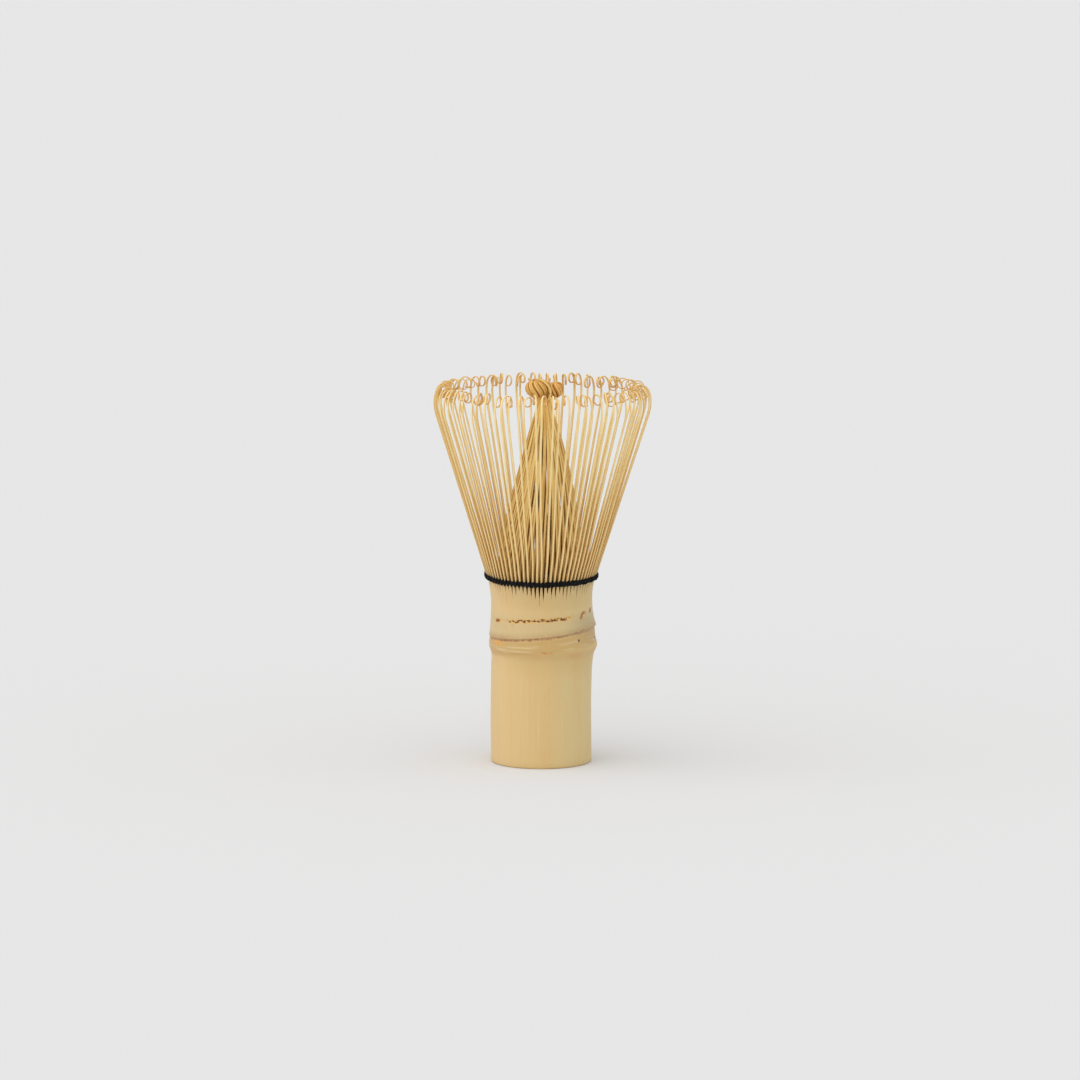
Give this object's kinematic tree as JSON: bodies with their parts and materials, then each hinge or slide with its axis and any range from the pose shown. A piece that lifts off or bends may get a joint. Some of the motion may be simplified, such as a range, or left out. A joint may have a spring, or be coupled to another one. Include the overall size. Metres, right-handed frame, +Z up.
{
  "type": "bamboo tea whisk",
  "caption": "Bamboo tea whisk: a hollow handle with a node, a flaring outer ring of curled tines, an inner tent of tines with knotted tips, and a black thread twined round the roots.",
  "frame": {"origin": "centre of the handle's flat bottom face", "axes": "+Z up along the handle's axis, towards the tines; -Y is the side seen in the picture; the knot of inner tips is longest along X"},
  "size_m": [0.0614, 0.0614, 0.11],
  "materials": {
    "bamboo_skin": "satin pale bamboo skin",
    "outer_tine_bamboo": "satin split bamboo, browner at the curled tips",
    "inner_tine_bamboo": "satin split bamboo, browner at the curled tips",
    "black_cotton": "matt black twisted cotton"
  },
  "bodies": {
    "root": {"handle_culm": "bamboo_skin", "thread_strand_a": "black_cotton", "thread_strand_b": "black_cotton", "thread_knot": "black_cotton"},
    "outer_segment_01": {"outer_tines_01": "outer_tine_bamboo"},
    "outer_segment_02": {"outer_tines_02": "outer_tine_bamboo"},
    "outer_segment_03": {"outer_tines_03": "outer_tine_bamboo"},
    "outer_segment_04": {"outer_tines_04": "outer_tine_bamboo"},
    "outer_segment_05": {"outer_tines_05": "outer_tine_bamboo"},
    "outer_segment_06": {"outer_tines_06": "outer_tine_bamboo"},
    "outer_segment_07": {"outer_tines_07": "outer_tine_bamboo"},
    "outer_segment_08": {"outer_tines_08": "outer_tine_bamboo"},
    "outer_segment_09": {"outer_tines_09": "outer_tine_bamboo"},
    "outer_segment_10": {"outer_tines_10": "outer_tine_bamboo"},
    "outer_segment_11": {"outer_tines_11": "outer_tine_bamboo"},
    "outer_segment_12": {"outer_tines_12": "outer_tine_bamboo"},
    "outer_segment_13": {"outer_tines_13": "outer_tine_bamboo"},
    "outer_segment_14": {"outer_tines_14": "outer_tine_bamboo"},
    "outer_segment_15": {"outer_tines_15": "outer_tine_bamboo"},
    "outer_segment_16": {"outer_tines_16": "outer_tine_bamboo"},
    "inner_segment_01": {"inner_tines_01": "inner_tine_bamboo"},
    "inner_segment_02": {"inner_tines_02": "inner_tine_bamboo"},
    "inner_segment_03": {"inner_tines_03": "inner_tine_bamboo"},
    "inner_segment_04": {"inner_tines_04": "inner_tine_bamboo"},
    "inner_segment_05": {"inner_tines_05": "inner_tine_bamboo"},
    "inner_segment_06": {"inner_tines_06": "inner_tine_bamboo"},
    "inner_segment_07": {"inner_tines_07": "inner_tine_bamboo"},
    "inner_segment_08": {"inner_tines_08": "inner_tine_bamboo"},
    "inner_segment_09": {"inner_tines_09": "inner_tine_bamboo"},
    "inner_segment_10": {"inner_tines_10": "inner_tine_bamboo"},
    "inner_segment_11": {"inner_tines_11": "inner_tine_bamboo"},
    "inner_segment_12": {"inner_tines_12": "inner_tine_bamboo"},
    "inner_segment_13": {"inner_tines_13": "inner_tine_bamboo"},
    "inner_segment_14": {"inner_tines_14": "inner_tine_bamboo"},
    "inner_segment_15": {"inner_tines_15": "inner_tine_bamboo"},
    "inner_segment_16": {"inner_tines_16": "inner_tine_bamboo"}
  },
  "joints": [
    {"name": "outer_flex_01", "type": "hinge", "parent": "root", "child": "outer_segment_01", "pos_m": [0.0156, 0, 0.05435], "axis": [0, 1, 0], "range_deg": [-4, 7], "stiffness_Nm_per_rad": 0.015},
    {"name": "outer_flex_02", "type": "hinge", "parent": "root", "child": "outer_segment_02", "pos_m": [0.01441, 0.00597, 0.05435], "axis": [-0.3827, 0.9239, 0], "range_deg": [-4, 7], "stiffness_Nm_per_rad": 0.015},
    {"name": "outer_flex_03", "type": "hinge", "parent": "root", "child": "outer_segment_03", "pos_m": [0.01103, 0.01103, 0.05435], "axis": [-0.7071, 0.7071, 0], "range_deg": [-4, 7], "stiffness_Nm_per_rad": 0.015},
    {"name": "outer_flex_04", "type": "hinge", "parent": "root", "child": "outer_segment_04", "pos_m": [0.00597, 0.01441, 0.05435], "axis": [-0.9239, 0.3827, 0], "range_deg": [-4, 7], "stiffness_Nm_per_rad": 0.015},
    {"name": "outer_flex_05", "type": "hinge", "parent": "root", "child": "outer_segment_05", "pos_m": [0, 0.0156, 0.05435], "axis": [-1, 0, 0], "range_deg": [-4, 7], "stiffness_Nm_per_rad": 0.015},
    {"name": "outer_flex_06", "type": "hinge", "parent": "root", "child": "outer_segment_06", "pos_m": [-0.00597, 0.01441, 0.05435], "axis": [-0.9239, -0.3827, 0], "range_deg": [-4, 7], "stiffness_Nm_per_rad": 0.015},
    {"name": "outer_flex_07", "type": "hinge", "parent": "root", "child": "outer_segment_07", "pos_m": [-0.01103, 0.01103, 0.05435], "axis": [-0.7071, -0.7071, 0], "range_deg": [-4, 7], "stiffness_Nm_per_rad": 0.015},
    {"name": "outer_flex_08", "type": "hinge", "parent": "root", "child": "outer_segment_08", "pos_m": [-0.01441, 0.00597, 0.05435], "axis": [-0.3827, -0.9239, 0], "range_deg": [-4, 7], "stiffness_Nm_per_rad": 0.015},
    {"name": "outer_flex_09", "type": "hinge", "parent": "root", "child": "outer_segment_09", "pos_m": [-0.0156, 0, 0.05435], "axis": [0, -1, 0], "range_deg": [-4, 7], "stiffness_Nm_per_rad": 0.015},
    {"name": "outer_flex_10", "type": "hinge", "parent": "root", "child": "outer_segment_10", "pos_m": [-0.01441, -0.00597, 0.05435], "axis": [0.3827, -0.9239, 0], "range_deg": [-4, 7], "stiffness_Nm_per_rad": 0.015},
    {"name": "outer_flex_11", "type": "hinge", "parent": "root", "child": "outer_segment_11", "pos_m": [-0.01103, -0.01103, 0.05435], "axis": [0.7071, -0.7071, 0], "range_deg": [-4, 7], "stiffness_Nm_per_rad": 0.015},
    {"name": "outer_flex_12", "type": "hinge", "parent": "root", "child": "outer_segment_12", "pos_m": [-0.00597, -0.01441, 0.05435], "axis": [0.9239, -0.3827, 0], "range_deg": [-4, 7], "stiffness_Nm_per_rad": 0.015},
    {"name": "outer_flex_13", "type": "hinge", "parent": "root", "child": "outer_segment_13", "pos_m": [0, -0.0156, 0.05435], "axis": [1, 0, 0], "range_deg": [-4, 7], "stiffness_Nm_per_rad": 0.015},
    {"name": "outer_flex_14", "type": "hinge", "parent": "root", "child": "outer_segment_14", "pos_m": [0.00597, -0.01441, 0.05435], "axis": [0.9239, 0.3827, 0], "range_deg": [-4, 7], "stiffness_Nm_per_rad": 0.015},
    {"name": "outer_flex_15", "type": "hinge", "parent": "root", "child": "outer_segment_15", "pos_m": [0.01103, -0.01103, 0.05435], "axis": [0.7071, 0.7071, 0], "range_deg": [-4, 7], "stiffness_Nm_per_rad": 0.015},
    {"name": "outer_flex_16", "type": "hinge", "parent": "root", "child": "outer_segment_16", "pos_m": [0.01441, -0.00597, 0.05435], "axis": [0.3827, 0.9239, 0], "range_deg": [-4, 7], "stiffness_Nm_per_rad": 0.015},
    {"name": "inner_flex_01", "type": "hinge", "parent": "root", "child": "inner_segment_01", "pos_m": [0.01239, 0.00049, 0.05435], "axis": [-0.0393, 0.9992, 0], "range_deg": [0, 4], "stiffness_Nm_per_rad": 0.006},
    {"name": "inner_flex_02", "type": "hinge", "parent": "root", "child": "inner_segment_02", "pos_m": [0.01126, 0.00519, 0.05435], "axis": [-0.4187, 0.9081, 0], "range_deg": [0, 4], "stiffness_Nm_per_rad": 0.006},
    {"name": "inner_flex_03", "type": "hinge", "parent": "root", "child": "inner_segment_03", "pos_m": [0.00842, 0.00911, 0.05435], "axis": [-0.7343, 0.6788, 0], "range_deg": [0, 4], "stiffness_Nm_per_rad": 0.006},
    {"name": "inner_flex_04", "type": "hinge", "parent": "root", "child": "inner_segment_04", "pos_m": [0.00429, 0.01163, 0.05435], "axis": [-0.9382, 0.3461, 0], "range_deg": [0, 4], "stiffness_Nm_per_rad": 0.006},
    {"name": "inner_flex_05", "type": "hinge", "parent": "root", "child": "inner_segment_05", "pos_m": [-0.00049, 0.01239, 0.05435], "axis": [-0.9992, -0.0393, 0], "range_deg": [0, 4], "stiffness_Nm_per_rad": 0.006},
    {"name": "inner_flex_06", "type": "hinge", "parent": "root", "child": "inner_segment_06", "pos_m": [-0.00519, 0.01126, 0.05435], "axis": [-0.9081, -0.4187, 0], "range_deg": [0, 4], "stiffness_Nm_per_rad": 0.006},
    {"name": "inner_flex_07", "type": "hinge", "parent": "root", "child": "inner_segment_07", "pos_m": [-0.00911, 0.00842, 0.05435], "axis": [-0.6788, -0.7343, 0], "range_deg": [0, 4], "stiffness_Nm_per_rad": 0.006},
    {"name": "inner_flex_08", "type": "hinge", "parent": "root", "child": "inner_segment_08", "pos_m": [-0.01163, 0.00429, 0.05435], "axis": [-0.3461, -0.9382, 0], "range_deg": [0, 4], "stiffness_Nm_per_rad": 0.006},
    {"name": "inner_flex_09", "type": "hinge", "parent": "root", "child": "inner_segment_09", "pos_m": [-0.01239, -0.00049, 0.05435], "axis": [0.0393, -0.9992, 0], "range_deg": [0, 4], "stiffness_Nm_per_rad": 0.006},
    {"name": "inner_flex_10", "type": "hinge", "parent": "root", "child": "inner_segment_10", "pos_m": [-0.01126, -0.00519, 0.05435], "axis": [0.4187, -0.9081, 0], "range_deg": [0, 4], "stiffness_Nm_per_rad": 0.006},
    {"name": "inner_flex_11", "type": "hinge", "parent": "root", "child": "inner_segment_11", "pos_m": [-0.00842, -0.00911, 0.05435], "axis": [0.7343, -0.6788, 0], "range_deg": [0, 4], "stiffness_Nm_per_rad": 0.006},
    {"name": "inner_flex_12", "type": "hinge", "parent": "root", "child": "inner_segment_12", "pos_m": [-0.00429, -0.01163, 0.05435], "axis": [0.9382, -0.3461, 0], "range_deg": [0, 4], "stiffness_Nm_per_rad": 0.006},
    {"name": "inner_flex_13", "type": "hinge", "parent": "root", "child": "inner_segment_13", "pos_m": [0.00049, -0.01239, 0.05435], "axis": [0.9992, 0.0393, 0], "range_deg": [0, 4], "stiffness_Nm_per_rad": 0.006},
    {"name": "inner_flex_14", "type": "hinge", "parent": "root", "child": "inner_segment_14", "pos_m": [0.00519, -0.01126, 0.05435], "axis": [0.9081, 0.4187, 0], "range_deg": [0, 4], "stiffness_Nm_per_rad": 0.006},
    {"name": "inner_flex_15", "type": "hinge", "parent": "root", "child": "inner_segment_15", "pos_m": [0.00911, -0.00842, 0.05435], "axis": [0.6788, 0.7343, 0], "range_deg": [0, 4], "stiffness_Nm_per_rad": 0.006},
    {"name": "inner_flex_16", "type": "hinge", "parent": "root", "child": "inner_segment_16", "pos_m": [0.01163, -0.00429, 0.05435], "axis": [0.3461, 0.9382, 0], "range_deg": [0, 4], "stiffness_Nm_per_rad": 0.006}
  ]
}
